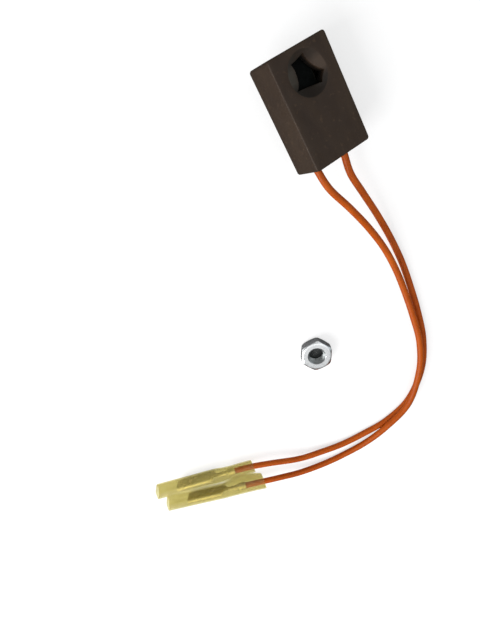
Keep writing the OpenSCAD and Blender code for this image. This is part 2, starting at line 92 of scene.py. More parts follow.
def mesh_object(name, verts, faces, mat, angle=35):
    """Object from points in mm, smooth below the given angle in degrees."""
    mesh = bpy.data.meshes.new(name)
    mesh.from_pydata([tuple(v) for v in np.asarray(verts, float) * MM], [],
                     [tuple(int(i) for i in face) for face in faces])
    mesh.validate()
    bm = bmesh.new()
    bm.from_mesh(mesh)
    bmesh.ops.remove_doubles(bm, verts=bm.verts, dist=1e-7)
    bmesh.ops.recalc_face_normals(bm, faces=bm.faces)
    bm.to_mesh(mesh)
    bm.free()
    smooth(mesh, angle)
    obj = bpy.data.objects.new(name, mesh)
    bpy.context.scene.collection.objects.link(obj)
    if mat is not None:
        mesh.materials.append(mat)
    return obj


def grid(rings, loop=False, caps=True):
    """(verts, faces) over closed rings. loop joins the last ring to the first."""
    rings = np.asarray(rings, float)
    count, size = rings.shape[:2]
    faces = []
    for i in range(count if loop else count - 1):
        this, after = i * size, ((i + 1) % count) * size
        for j in range(size):
            k = (j + 1) % size
            faces.append((this + j, this + k, after + k, after + j))
    if caps and not loop:
        faces.append(tuple(range(size))[::-1])
        faces.append(tuple((count - 1) * size + j for j in range(size)))
    return rings.reshape(-1, 3), faces


def join(name, parts, mat, angle=35):
    """One object from several (verts, faces)."""
    all_verts, all_faces, base = [], [], 0
    for verts, faces in parts:
        all_verts.append(np.asarray(verts, float))
        all_faces += [tuple(i + base for i in face) for face in faces]
        base += len(verts)
    return mesh_object(name, np.vstack(all_verts), all_faces, mat, angle)


def cylinder(start, axis, radius, height, count, bevel):
    """(verts, faces) of a bevelled cylinder from the centre of its start along axis."""
    axis = Vector(axis).normalized()
    side = axis.orthogonal().normalized()
    other = axis.cross(side)
    rings = []
    for rise, rad in ((0, radius - bevel), (bevel, radius),
                      (height - bevel, radius), (height, radius - bevel)):
        rings.append([np.array(Vector(start) + axis * rise
                               + (side * math.cos(t) + other * math.sin(t)) * rad)
                      for t in circle(count)])
    return grid(rings)


def subtract(obj, cutters):
    """Boolean difference, applied to obj's mesh."""
    for cutter in cutters:
        mod = obj.modifiers.new("cut", "BOOLEAN")
        mod.operation, mod.object, mod.solver = "DIFFERENCE", cutter, "EXACT"
    depsgraph = bpy.context.evaluated_depsgraph_get()
    mesh = bpy.data.meshes.new_from_object(obj.evaluated_get(depsgraph))
    obj.modifiers.clear()
    obj.data = mesh
    for cutter in cutters:
        bpy.data.objects.remove(cutter)
    smooth(mesh, 35)


# ------------------------------------------------------------------ material helpers
class Shader:
    """Builds the node tree of a material or world. Lengths are in metres."""

    def __init__(self, owner, output="OutputMaterial"):
        self.owner = owner
        owner.use_nodes = True
        self.tree = owner.node_tree
        self.tree.nodes.clear()
        self.output = self.node(output)

    def feed(self, node, inputs):
        """Link each input to a socket, or set its value. An RGB colour gets alpha 1."""
        for key, value in inputs.items():
            socket = node.inputs[key]
            if isinstance(value, bpy.types.NodeSocket):
                self.tree.links.new(value, socket)
            elif socket.type == "RGBA" and len(value) == 3:
                socket.default_value = (*value, 1)
            else:
                socket.default_value = value

    def node(self, kind, inputs=None, **settings):
        node = self.tree.nodes.new("ShaderNode" + kind)
        for key, value in settings.items():
            setattr(node, key, value)
        self.feed(node, inputs or {})
        return node

    def out(self, kind, inputs=None, socket=0, **settings):
        return self.node(kind, inputs, **settings).outputs[socket]

    def finish(self, surface):
        self.feed(self.output, {"Surface": surface})
        return self.owner

    def coord(self, scale=(1, 1, 1)):
        coords = self.out("TexCoord", socket="Object")
        return self.out("Mapping", {"Vector": coords, "Scale": scale})

    def noise(self, vec, scale, detail=4, rough=0.55, distort=0.0):
        return self.out("TexNoise", {"Vector": vec, "Scale": scale, "Detail": detail,
                                     "Roughness": rough, "Distortion": distort}, "Fac")

    def ramp(self, fac, stops):
        """Colour ramp; stops are (position, colour)."""
        node = self.node("ValToRGB", {"Fac": fac})
        elements = node.color_ramp.elements
        for element, (position, color) in ((elements[0], stops[0]), (elements[1], stops[-1])):
            element.position, element.color = position, (*color, 1)
        for position, color in stops[1:-1]:
            elements.new(position).color = (*color, 1)
        return node.outputs["Color"]

    def remap(self, value, span, to=(0, 1)):
        """Clamped linear map of the range span onto the range to."""
        return self.out("MapRange", {"Value": value, "From Min": span[0], "From Max": span[1],
                                     "To Min": to[0], "To Max": to[1]}, "Result")

    def math(self, operation, *values):
        return self.out("Math", dict(enumerate(values)), operation=operation)

    def times(self, first, second):
        return self.math("MULTIPLY", first, second)

    def vector(self, operation, first, second):
        return self.out("VectorMath", {0: first, 1: second}, "Value", operation=operation)

    def mix(self, fac, first, second):
        return self.out("MixRGB", {"Fac": fac, "Color1": first, "Color2": second}, "Color")

    def mix_shader(self, fac, first, second):
        return self.out("MixShader", {0: fac, 1: first, 2: second})

    def bump(self, height, strength, dist, below=None):
        """Normal with a relief, laid over the normal below if there is one."""
        inputs = {"Height": height, "Strength": strength, "Distance": dist}
        if below is not None:
            inputs["Normal"] = below
        return self.out("Bump", inputs)

    def edges(self):
        """0 on flats, 1 along edges, from how far a rounded normal turns from the true one."""
        true = self.out("NewGeometry", socket="Normal")
        rounded = self.out("Bevel", {"Radius": 0.00022}, samples=4)
        return self.remap(self.vector("DOT_PRODUCT", true, rounded), (0.995, 0.90))

    def principled(self, color, rough, normal, spec, metallic=0, **more):
        inputs = {"Base Color": color, "Roughness": rough, "Metallic": metallic,
                  "Specular IOR Level": spec, "Normal": normal}
        inputs.update({key.replace("_", " "): value for key, value in more.items()})
        return self.finish(self.out("BsdfPrincipled", inputs))


def new_material(name):
    return Shader(bpy.data.materials.new(name))


def srgb(*levels):
    """Linear colour from 0-255 levels."""
    def linear(c):
        return c / 12.92 if c <= 0.04045 else ((c + 0.055) / 1.055) ** 2.4
    return tuple(linear(level / 255) for level in levels)


def scaled(color, factor):
    return tuple(min(1, c * factor) for c in color)


# ------------------------------------------------------------------ materials
def port_painted_light(mat, base):
    """Painted light and shade in the port: a painted sheen on the petals to the right, painted grey
    light on those to the left, painted shade on the low and high ones, and painted shade that
    blackens the port's depth.
    """
    place = mat.coord()
    out = mat.vector("DOT_PRODUCT", place, (math.sin(TILT), 0, math.cos(TILT)))
    across = mat.vector("DOT_PRODUCT", place, (math.cos(TILT), 0, -math.sin(TILT)))
    y = mat.math("SUBTRACT", mat.vector("DOT_PRODUCT", place, (0, 1, 0)), PORT_Y * MM)
    radius = mat.math("SQRT", mat.math("ADD", mat.times(across, across), mat.times(y, y)))
    mouth = mat.remap(radius, (PORT_R * MM, 0.0056))
    # right and left: painted light on the petals; low and high: painted shade
    right = mat.times(mouth, mat.remap(across, (0.0006, 0.0040), to=(0, 0.26)))
    right = mat.times(right, mat.remap(y, (-0.0024, -0.0002)))
    low = mat.times(mouth, mat.remap(y, (-0.0004, -0.0024), to=(0, 0.85)))
    high = mat.times(mouth, mat.remap(y, (0.0018, 0.0036), to=(0, 0.55)))
    left = mat.times(mouth, mat.remap(across, (-0.0010, -0.0038), to=(0, 0.60)))
    base = mat.mix(right, base, srgb(92, 76, 63))
    base = mat.mix(left, base, srgb(72, 70, 63))
    base = mat.mix(low, base, srgb(20, 13, 6))
    base = mat.mix(high, base, srgb(20, 13, 6))
    # painted shade: the port's depth blackened
    painted_depth_shade = mat.times(mat.remap(out, (0.00870, 0.0080)), mat.remap(radius, (0.0057, 0.0056)))
    return mat.mix(mat.times(painted_depth_shade, 0.85), base, (0.002, 0.002, 0.002))


def phenolic(name, dark, light, port=False):
    """Moulded phenolic: matte, with a fine grain, faint flow marks and rubbed edges."""
    mat = new_material(name)
    vec = mat.coord()
    flow = mat.noise(mat.coord((140, 40, 140)), scale=1.0, detail=5, rough=0.6, distort=0.8)
    grain = mat.noise(vec, scale=2600, detail=3, rough=0.6)
    speck = mat.noise(vec, scale=900, detail=2, rough=0.5)
    base = mat.mix(mat.remap(flow, (0.3, 0.7)), dark, light)
    base = mat.mix(mat.remap(speck, (0.62, 0.74), to=(0, 0.35)), base, scaled(light, 2.2))
    base = mat.mix(mat.remap(grain, (0.25, 0.42), to=(0.25, 0)), base, scaled(dark, 0.5))
    patches = mat.remap(mat.noise(vec, scale=500), (0.4, 0.7), to=(0, 0.04))
    base = mat.mix(mat.times(mat.edges(), patches), base, scaled(light, 1.7))
    # the port gets painted light and shade
    if port:
        base = port_painted_light(mat, base)
    rough = mat.remap(mat.noise(vec, scale=350), (0.3, 0.7), to=(0.46, 0.62))
    normal = mat.bump(grain, strength=0.22, dist=0.00006)
    normal = mat.bump(flow, strength=0.10, dist=0.0002, below=normal)
    return mat.principled(base, rough, normal, spec=0.30)


def silicone():
    """Silicone insulation: satin orange with slight dust and a patchy sheen."""
    mat = new_material("silicone_orange")
    vec = mat.coord()
    patch = mat.noise(vec, scale=260, rough=0.6)
    dust = mat.noise(vec, scale=2200, detail=2, rough=0.5)
    color = mat.ramp(patch, [(0.25, srgb(160, 66, 2)), (0.5, srgb(170, 74, 2)),
                             (0.8, srgb(180, 82, 4))])
    color = mat.mix(mat.remap(dust, (0.62, 0.8), to=(0, 0.2)), color, srgb(185, 105, 50))
    rough = mat.remap(patch, (0.3, 0.7), to=(0.34, 0.50))
    normal = mat.bump(dust, strength=0.12, dist=0.00004)
    ripple = mat.noise(vec, scale=420, detail=3)
    normal = mat.bump(ripple, strength=0.15, dist=0.0002, below=normal)
    return mat.principled(color, rough, normal, spec=0.18)


def metal(name, color, dark, rough, tarnish, scale=1200, streak=(1, 1, 1), metallic=1.0):
    """Metal with fine streaks, tarnish towards dark and brighter edges."""
    mat = new_material(name)
    fine = mat.noise(mat.coord(streak), scale, detail=5, rough=0.6)
    blot = mat.noise(mat.coord(), scale=180, rough=0.6, distort=0.6)
    spots = mat.noise(mat.coord(), scale=700, detail=3, rough=0.6)
    base = mat.mix(mat.remap(blot, (0.4, 0.75), to=(0, tarnish)), color, dark)
    base = mat.mix(mat.remap(spots, (0.66, 0.8), to=(0, tarnish * 0.8)), base, scaled(dark, 0.6))
    base = mat.mix(mat.times(mat.edges(), 0.5), base, scaled(color, 1.25))
    rough = mat.remap(fine, (0.3, 0.7), to=rough)
    rough = mat.math("ADD", rough, mat.remap(blot, (0.45, 0.8), to=(0, 0.14)))
    normal = mat.bump(fine, strength=0.05, dist=0.00005)
    return mat.principled(base, rough, normal, spec=0.5, metallic=metallic)


def nylon():
    """Thin natural nylon: see-through, yellowish, waxy and rippled, cloudier at its edges."""
    mat = new_material("nylon_natural")
    vec = mat.coord()
    ripple = mat.noise(mat.coord((60, 60, 60)), scale=1.0, detail=3, rough=0.5)
    cloud = mat.noise(vec, scale=300, rough=0.6)
    normal = mat.bump(ripple, strength=0.25, dist=0.0006)
    fine = mat.noise(vec, scale=1400, detail=2)
    normal = mat.bump(fine, strength=0.05, dist=0.00005, below=normal)
    tint = mat.ramp(cloud, [(0.2, (0.805, 0.778, 0.575)), (0.8, (0.855, 0.828, 0.635))])
    clear = mat.out("BsdfTransparent", {"Color": tint})
    milk = mat.out("BsdfDiffuse", {"Color": (0.80, 0.69, 0.24), "Normal": normal})
    glow = mat.out("BsdfTranslucent", {"Color": (0.80, 0.70, 0.25), "Normal": normal})
    milky = mat.mix_shader(0.5, milk, glow)
    facing = mat.out("LayerWeight", {"Blend": 0.35}, "Facing")
    milkiness = mat.math("ADD", mat.remap(facing, (0, 0.9), to=(0.05, 0.17)),
                         mat.remap(cloud, (0.3, 0.7), to=(-0.03, 0.04)))
    body = mat.mix_shader(milkiness, clear, milky)
    gloss = mat.out("BsdfGlossy", {"Roughness": 0.22, "Normal": normal})
    fresnel = mat.out("Fresnel", {"IOR": 1.45, "Normal": normal})
    outside = mat.math("SUBTRACT", 1.0, mat.out("NewGeometry", socket="Backfacing"))
    coated = mat.mix_shader(mat.times(mat.times(fresnel, 0.7), outside), body, gloss)
    # light gets through thin nylon almost untouched
    rays = mat.node("LightPath").outputs
    pale = mat.out("BsdfTransparent", {"Color": (0.985, 0.975, 0.93)})
    passing = mat.math("MAXIMUM", rays["Is Shadow Ray"], rays["Is Diffuse Ray"])
    return mat.finish(mat.mix_shader(passing, coated, pale))


def ceramic():
    """Steatite: off-white and faintly grainy."""
    mat = new_material("steatite")
    vec = mat.coord()
    patch = mat.noise(vec, scale=700, rough=0.6)
    color = mat.ramp(patch, [(0.3, srgb(214, 205, 180)), (0.7, srgb(236, 230, 212))])
    rough = mat.remap(patch, (0.3, 0.7), to=(0.5, 0.7))
    normal = mat.bump(mat.noise(vec, scale=2500, detail=3), strength=0.2, dist=0.00005)
    return mat.principled(color, rough, normal, spec=0.4)


def black_bimetal():
    """Soot-like paint, slightly uneven, with the strip showing along rubbed edges."""
    mat = new_material("blackened_bimetal")
    patch = mat.noise(mat.coord(), scale=800, rough=0.6)
    color = mat.ramp(patch, [(0.3, (0.002, 0.0025, 0.002)), (0.75, (0.006, 0.007, 0.007))])
    color = mat.mix(mat.times(mat.edges(), 0.25), color, (0.12, 0.1, 0.08))
    rough = mat.remap(patch, (0.3, 0.7), to=(0.65, 0.85))
    return mat.principled(color, rough, mat.bump(patch, strength=0.15, dist=0.00005), spec=0.03)


PHENOLIC = phenolic("phenolic_brown", srgb(45, 32, 22), srgb(55, 41, 28), port=True)
COVER = phenolic("phenolic_brown_cover", srgb(41, 30, 23), srgb(50, 38, 30))
SILICONE = silicone()
ZINC = metal("zinc_bright", (0.80, 0.82, 0.83), (0.50, 0.52, 0.54),
             rough=(0.14, 0.30), tarnish=0.25)
# a darker copy of the zinc: painted shade in the nut's threaded bore
THREAD_PAINTED_SHADE = metal("zinc_thread_painted_shade", (0.34, 0.36, 0.36), (0.16, 0.17, 0.17),
                    rough=(0.28, 0.45), tarnish=0.5)
SCREW = metal("screw_zinc", (0.60, 0.61, 0.62), (0.33, 0.33, 0.34),
              rough=(0.25, 0.45), tarnish=0.5)
BRASS = metal("brass_pressed", (1.0, 0.91, 0.56), (0.74, 0.62, 0.32), rough=(0.16, 0.30),
              tarnish=0.3, scale=1000, streak=(1, 6, 6), metallic=0.65)
STRIP = metal("brass_strip", (0.76, 0.60, 0.30), (0.45, 0.33, 0.15), rough=(0.2, 0.4),
              tarnish=0.5, scale=1000, streak=(1, 4, 1))
BRONZE = metal("spring_bronze", (0.72, 0.48, 0.26), (0.40, 0.25, 0.13), rough=(0.2, 0.38),
               tarnish=0.4, scale=1000, streak=(1, 4, 1))
SILVER = metal("contact_silver", (0.88, 0.88, 0.87), (0.5, 0.49, 0.46),
               rough=(0.15, 0.35), tarnish=0.4)
COPPER = metal("tinned_copper", (0.80, 0.66, 0.52), (0.55, 0.38, 0.26),
               rough=(0.2, 0.35), tarnish=0.35, scale=1500)
NYLON = nylon()
CERAMIC = ceramic()
BLACK = black_bimetal()


# ------------------------------------------------------------------ housing
DISH = 0.35                                 # drop per mm inward of the port's mouth
RIM_ROUND = 0.12                            # half width of the mouth's rounded rim
LIP = 0.07                                  # width of the rounded inner edge of the petals
FRONT_ROUND, REAR_ROUND = 0.3, 0.2
SIDE_WALL, END_WALL = 1.3, 1.5
LEAD_HOLE_R = 1.125
BOSS_ACROSS, BOSS_YS, BOSS_R, BOSS_START = 6.15, (-1.0, 15.2), 1.25, 1.64
# (angle in degrees, radius): points of the throat, and the innermost point of the petal
# after each of them
TIPS = [(77, 4.7), (133, 4.9), (208, 5.4), (310, 4.6), (346, 5.0)]
WAISTS = [(103, 4.1), (176, 2.6), (266, 2.98), (328, 4.4), (28, 2.95)]


def outline(half_w, half_l, corner_r, step=0.42, segments=8):
    """Rounded rectangle about (0, MID_Y). All sizes get the same number of points."""
    arcs = []
    for k, (sx, sy) in enumerate(((1, 1), (-1, 1), (-1, -1), (1, -1))):
        angle = np.radians(90 * k + 90 * np.arange(segments + 1) / segments)
        arcs.append(np.stack([sx * (half_w - corner_r) + corner_r * np.cos(angle),
                              sy * (half_l - corner_r) + corner_r * np.sin(angle)], -1))
    points = []
    for k, arc in enumerate(arcs):
        count = int(2 * (HALF_W, HALF_L)[k % 2] / step)
        part = np.arange(1, count)[:, None] / count
        points += [arc, arc[-1] + (arcs[(k + 1) % 4][0] - arc[-1]) * part]
    return np.vstack(points) + [0, MID_Y]


def inset(depth):
    """The housing's outline, drawn in by depth."""
    return outline(HALF_W - depth, HALF_L - depth, CORNER_R - depth)


def circle_through(points):
    """Centre and radius of the circle through three points."""
    points = np.array(points)
    solved = np.linalg.solve(np.c_[2 * points, np.ones(3)], (points ** 2).sum(1))
    return solved[:2], np.linalg.norm(points[0] - solved[:2])


def throat(angle):
    """Radius of the throat in each direction: circular petals between its tips."""
    def cart(point):
        turn = math.radians(point[0])
        return point[1] * math.cos(turn), point[1] * math.sin(turn)

    radius = np.zeros_like(angle)
    slack = 1e-6
    for k, (tip, waist) in enumerate(zip(TIPS, WAISTS)):
        after = TIPS[(k + 1) % 5]
        turned = (np.degrees(angle) - tip[0] + slack) % 360
        inside = turned <= (after[0] - tip[0]) % 360 + 2 * slack
        centre, petal_r = circle_through([cart(tip), cart(waist), cart(after)])
        along_ray = centre[0] * np.cos(angle) + centre[1] * np.sin(angle)
        reach = np.maximum(along_ray ** 2 - (centre @ centre - petal_r ** 2), 0)
        radius = np.where(inside, along_ray - np.sqrt(reach), radius)
    return radius


def port_rings(angle):
    """Rings from the throat's inner end, over the petals, to the mouth's rim."""
    def polar(radius, out):
        return ring(angle, radius, out) + [0, PORT_Y, 0]

    def dish(radius):
        return FACE - (PORT_R - radius) * DISH

    star = throat(angle)
    top = dish(star)                        # height of the petals' inner edge
    rings = [polar(star, ROOF)]
    for part in (0.25, 0.5, 0.75, 0.92):
        rings.append(polar(star, ROOF + (top - 0.12 - ROOF) * part))
    rings.append(polar(star, top - 0.10))
    rings.append(polar(star + 0.02, top - 0.03))
    width = PORT_R - RIM_ROUND - (star + LIP)
    for part in (0.0, 0.12, 0.3, 0.5, 0.7, 0.88, 1.0):     # petals, very slightly hollow
        radius = star + LIP + width * part
        rings.append(polar(radius, dish(radius) - 0.06 * width * part * (1 - part)))
    for turn in (25, 50, 75, 90):
        rise = math.sin(math.radians(turn))
        rings.append(polar(PORT_R - RIM_ROUND + 2 * RIM_ROUND * rise,
                           FACE - RIM_ROUND * DISH * (1 - rise)))
    return rings


def housing():
    """One closed skin: throat, port, face, sides, rear edge and cavity, then holes and bosses."""
    def flat(points, out):
        return np.concatenate([points, np.full((len(points), 1), out)], 1)

    edge = inset(0)
    angle = np.arctan2(edge[:, 1] - PORT_Y, edge[:, 0])
    for tip, _ in TIPS:                     # a point exactly on each tip of the throat
        tip = math.remainder(math.radians(tip), 2 * math.pi)
        angle[np.argmin(np.abs(angle - tip))] = tip
    rings = port_rings(angle)
    rim, inner = rings[-1][:, :2], inset(FRONT_ROUND)
    for part in (0.25, 0.5, 0.75):          # face
        rings.append(flat(rim + (inner - rim) * part, FACE))
    for k in range(6):                      # front edge
        turn = math.radians(18 * k)
        rings.append(flat(inset(FRONT_ROUND * (1 - math.sin(turn))),
                          FACE - FRONT_ROUND * (1 - math.cos(turn))))
    for out in (7.5, 5.0, 2.5, REAR_ROUND):
        rings.append(flat(edge, out))
    for turn in (30, 60, 90):               # rear edge
        turn = math.radians(turn)
        rings.append(flat(inset(REAR_ROUND * (1 - math.cos(turn))),
                          REAR_ROUND * (1 - math.sin(turn))))
    for grow, out in ((0.10, 0.0), (0, 0.10), (0, 3.0), (0, ROOF)):      # cavity
        rings.append(flat(outline(HALF_W - SIDE_WALL + grow, HALF_L - END_WALL + grow, 0.5), out))
    shell = mesh_object("housing_shell", *grid(to_row(rings), loop=True), PHENOLIC, 32)

    cutters = []
    for across in LEAD_ACROSS.values():
        hole = cylinder(to_row([across, Y_LOW - 1, LEAD_OUT]), (0, 1, 0),
                        radius=LEAD_HOLE_R, height=3.0, count=40, bevel=0.001)
        cutters.append(mesh_object("cut", *hole, None))
    subtract(shell, cutters)

    parts = []                              # bosses for the cover screws
    for side in (-1, 1):
        for y in BOSS_YS:
            parts.append(cylinder(to_row([side * BOSS_ACROSS, y, BOSS_START]), to_row([0, 0, 1]),
                                  radius=BOSS_R, height=ROOF + 0.2 - BOSS_START,
                                  count=28, bevel=0.06))
    bosses = join("bosses", parts, PHENOLIC)
    mesh = shell.data
    bm = bmesh.new()
    bm.from_mesh(mesh)
    bm.from_mesh(bosses.data)
    bm.to_mesh(mesh)
    bm.free()
    bpy.data.objects.remove(bosses)
    if not len(mesh.materials):             # in case the boolean dropped the material
        mesh.materials.append(PHENOLIC)
    return shell


obj = housing()
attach(obj, "housing_body")
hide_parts("housing")


# ------------------------------------------------------------------ stud and nut
CHAMFER = 1.1                               # radius gained per mm of thread chamfer
NUT_APOTHEM, NUT_T = 9.525 / 2, 3.7
NUT_BORE_R = 2.99                           # at the faces, where the bore is chamfered


def thread(angle, z, low, high):
    """Radius of a thread between low and high."""
    phase = (z / PITCH - angle / (2 * math.pi)) % 1.0
    depth = np.abs(phase - 0.5) * 2         # 0 at the crest, 1 at the root
    return low + (high - low) * np.clip((0.86 - depth) / 0.72, 0, 1)


def hexagon(angle, apothem):
    return apothem / np.cos(angle % (math.pi / 3) - math.pi / 6)


def stud():
    angle = circle(72)
    rings = []
    for z in np.arange(-STUD_LENGTH, 0.001, PITCH / 13):
        radius = thread(angle, z, low=2.26, high=2.74)
        radius = np.minimum(radius, STUD_TIP_R + (z + STUD_LENGTH) * CHAMFER)
        if z > -0.35:                       # thread relief below the collar
            radius = np.minimum(radius, 2.3)
        rings.append(ring(angle, radius, z))
    for radius, z in ((2.3, 0.0), (2.85, 0.02), (2.9, 0.08), (2.9, 0.80)):
        rings.append(ring(angle, radius, z))
    for scale, z in ((0.97, 0.82), (1.0, 0.88), (1.0, 1.50), (0.97, 1.57)):    # hexagonal head
        rings.append(ring(angle, hexagon(angle, 3.8) * scale, z))
    verts, faces = grid(rings)
    return mesh_object("threaded_stud", to_row(verts), faces, ZINC, 40)


obj = stud()
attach(obj, "housing_body")
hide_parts("mounting_stud")


def nut():
    angle = circle(192)
    corner_r = NUT_APOTHEM / math.cos(math.pi / 6) - 0.25        # corners turned down
    hexr = np.minimum(hexagon(angle, NUT_APOTHEM), corner_r)
    face_radii = (3.5, 4.0, NUT_APOTHEM * 0.925)
    depths = (0.02, 0.06, 0.12, 0.2, 0.28, 0.36, 0.46, 0.6)      # below either face

    def chamfered(depth):
        return np.minimum(hexr, NUT_APOTHEM * 0.93 + 0.06 + depth * 1.6)

    rings = [ring(angle, radius, 0.0) for radius in face_radii]
    rings += [ring(angle, chamfered(depth), depth) for depth in depths]
    rings += [ring(angle, hexr, z) for z in (1.0, 1.8, 2.7)]
    rings += [ring(angle, chamfered(depth), NUT_T - depth) for depth in depths[::-1]]
    rings += [ring(angle, radius, NUT_T) for radius in face_radii[::-1]]
    for z in np.arange(NUT_T, -1e-6, -PITCH / 14):
        radius = thread(angle, z, low=2.3, high=2.78)
        radius = np.maximum(radius, NUT_BORE_R - z * CHAMFER)
        radius = np.maximum(radius, NUT_BORE_R - (NUT_T - z) * CHAMFER)
        rings.append(ring(angle, radius, z))
    verts, faces = grid(rings, loop=True)
    cos, sin = math.cos(NUT_TURN), math.sin(NUT_TURN)
    turn = np.array([[cos, -sin, 0], [sin, cos, 0], [0, 0, 1]])
    obj = mesh_object("hex_nut", verts @ turn.T + [NUT_X, NUT_Y, FLOOR], faces, ZINC, 28)
    # the bore's faces get the darker zinc as painted shade
    obj.data.materials.append(THREAD_PAINTED_SHADE)
    for face in obj.data.polygons:
        if math.hypot(face.center.x - NUT_X * MM, face.center.y - NUT_Y * MM) < 2.86 * MM:
            face.material_index = 1
    return obj


obj = nut()
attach(obj, "nut")
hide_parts("mounting_nut")


# ------------------------------------------------------------------ leads
LEAD_R = 1.025
LIE = FLOOR + LEAD_R + 0.02                 # height of a lead lying on the floor
OVER = LIE + 2 * LEAD_R + 0.04              # and of one lying over the other
END_Z = FLOOR + 3.66
# wire end of each sleeve, and the direction its connector points in
ENDS = {"a": (np.array([-65.9, -103.1, END_Z]), math.radians(168.0)),
        "b": (np.array([-66.2, -95.2, END_Z]), math.radians(170.3))}
INSULATION_END = 9.1                        # past the sleeve's wire end

# (x, y, z) between the housing and the connectors
BENDS = {
    "a": [(-2.1, -17.5, 4.2), (0.8, -25.3, 2.4), (3.4, -33.4, 0.4), (5.3, -42, -1.3),
          (6.0, -50.5, -2.5), (5.8, -59, OVER), (5.1, -67.5, OVER), (3.7, -77.2, OVER),
          (-0.2, -87.2, OVER), (-7.8, -97.2, OVER + 0.03), (-17.8, -102.45, OVER - 0.02),
          (-27, -106.1, LIE + 0.9), (-36.4, -107.9, LIE + 0.1), (-44.5, -107.9, LIE + 0.5),
          (-53.0, -106.5, LIE + 1.6)],
    "b": [(5.05, -17.3, -0.4), (6.15, -24.3, -1.75), (7.5, -32.3, -3.4), (8.5, -41, -4.7),
          (8.8, -50, LIE), (8.25, -58.7, LIE), (7.3, -67.5, LIE), (5.35, -77.8, LIE),
          (0.95, -88.1, LIE), (-7.2, -97.1, LIE), (-16.9, -101.5, LIE), (-26, -102.9, LIE),
          (-34.5, -103.3, LIE + 0.3), (-42, -102.5, LIE + 0.8), (-50.6, -100.95, LIE + 1.5)]}
NUDGE_Y = {"a": 0, "b": -0.8}               # of the point before the sleeve
# places along a lead, counted in path points: its start, where its pieces meet, and its end
START, MEET, STOP = 1.14, 12.6, 20.0


def lead_path(side):
    end, turn = ENDS[side]

    def along(distance):
        return end + distance * np.array([math.cos(turn), math.sin(turn), 0])

    start = [to_row([LEAD_ACROSS[side], y, LEAD_OUT]) for y in (-4, -7.5, -11)]
    finish = [along(-6) + [0, NUDGE_Y[side], 0], along(1.5)]
    finish += [along(INSULATION_END + 8 * k) for k in range(3)]
    return np.array(start + BENDS[side] + finish)


def spline(path, t):
    """Position and unit tangent on the Catmull-Rom curve through path."""
    i = int(min(len(path) - 3, max(1, math.floor(t))))
    f = t - i
    before, here, after, beyond = path[i - 1:i + 3]
    slope = after - before
    square = 2 * before - 5 * here + 4 * after - beyond
    cube = 3 * here - before - 3 * after + beyond
    tangent = 0.5 * (slope + 2 * f * square + 3 * f * f * cube)
    position = 0.5 * (2 * here + f * slope + f * f * square + f ** 3 * cube)
    return position, tangent / np.linalg.norm(tangent)


def tube(name, path, first, last):
    """Hollow insulation, with a hair of wander in its radius."""
    angle = circle(28)
    outer, inner = [], []
    for t in np.linspace(first, last, int((last - first) * 11) + 2):
        centre, tangent = spline(path, t)
        side = np.cross(tangent, [0, 0, 1.0])
        side /= np.linalg.norm(side)
        spokes = np.outer(np.cos(angle), side) + np.outer(np.sin(angle), np.cross(side, tangent))
        radius = LEAD_R * (1 + 0.004 * math.sin(t * 5.1) + 0.003 * math.sin(t * 13.7 + 1))
        outer.append(centre + spokes * min(radius, 1.028))
        inner.append(centre + spokes * 0.5)
    return mesh_object(name, *grid(outer + inner[::-1], loop=True), SILICONE, 40)


def flex(obj, path, t):
    """Bake obj's transform into its mesh; the level direction at t on its path is worked out but not
    used.
    """
    centre, tangent = spline(path, t)
    level = np.array([tangent[0], tangent[1], 0])
    level /= np.linalg.norm(level)
    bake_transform(obj)


for side in "ab":
    path = lead_path(side)
    upper = tube("lead_%s_upper" % side, path, START, MEET)
    flex(upper, path, 10)
    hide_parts("lead_" + side)
    lower = tube("lead_%s_lower" % side, path, MEET, STOP)
    flex(lower, path, 15)
    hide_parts("lead_%s_tail" % side, "lead_%s_end" % side)


# ------------------------------------------------------------------ receptacles and sleeves
# Connector coordinates: x from the sleeve's wire end towards its open end, y through the
# thickness, z across the width. The connectors stand on edge, so z is nearly up.
SETBACK = 0.9                               # of the receptacle's stations from the sleeve's
SHEET_HALF = 0.17                           # half the strip's thickness
DIMPLE_X = 23.6
SLEEVE_LENGTH = 36.8
# distance from the wire end, width, thickness, shift along z, shift along y; then what the
# rounder wire end of sleeve a adds to width, thickness and shift along y
SLEEVE_STATIONS = np.array([
    (0, 4.5, 3.55, -0.05, 0, 0.9, 0.8, -0.2), (2, 4.5, 3.6, -0.05, 0, 1.0, 1.35, -0.55),
    (5, 4.5, 3.75, -0.05, 0.1, 1.0, 1.7, -0.9), (9, 4.6, 3.8, 0.1, 0.15, 1.1, 1.6, -0.95),
    (11.4, 5.2, 3.8, 0.1, 0.15, 0.8, 1.1, -0.75), (13.6, 6.5, 3.65, 0, 0.1, 0, 0.5, -0.35),
    (15, 6.8, 3.5, 0, 0, 0, 0, 0), (19, 6.9, 3.4, 0, 0, 0, 0, 0),
    (26, 6.9, 3.35, 0, 0, 0, 0, 0), (SLEEVE_LENGTH, 6.9, 3.35, 0, 0, 0, 0, 0)])


def place(verts, side):
    """Connector coordinates to the scene's axes, in mm."""
    end, turn = ENDS[side]
    matrix = np.array(Matrix.Translation(Vector(end)) @ Matrix.Rotation(turn, 4, "Z")
                      @ Matrix.Rotation(math.radians(10), 4, "X"))
    return verts @ matrix[:3, :3].T + matrix[:3, 3]


# Half cross-sections of the pressed strip's centre line, for 0 at its middle to 1 at its edge.
def body(t):
    """Flat back, rounded sides and inturned lips."""
    side = (t - 0.5) / 0.32 * math.pi
    lip = np.maximum(t - 0.82, 0) / 0.18
    where = [t < 0.5, t < 0.82]
    y = np.select(where, [-0.76, -0.76 * np.cos(side)], 0.76 - 0.42 * lip ** 1.6)
    z = np.select(where, [t / 0.5 * 1.98, 1.98 + 0.58 * np.sin(side)], 1.98 - 1.05 * lip)
    return y, z


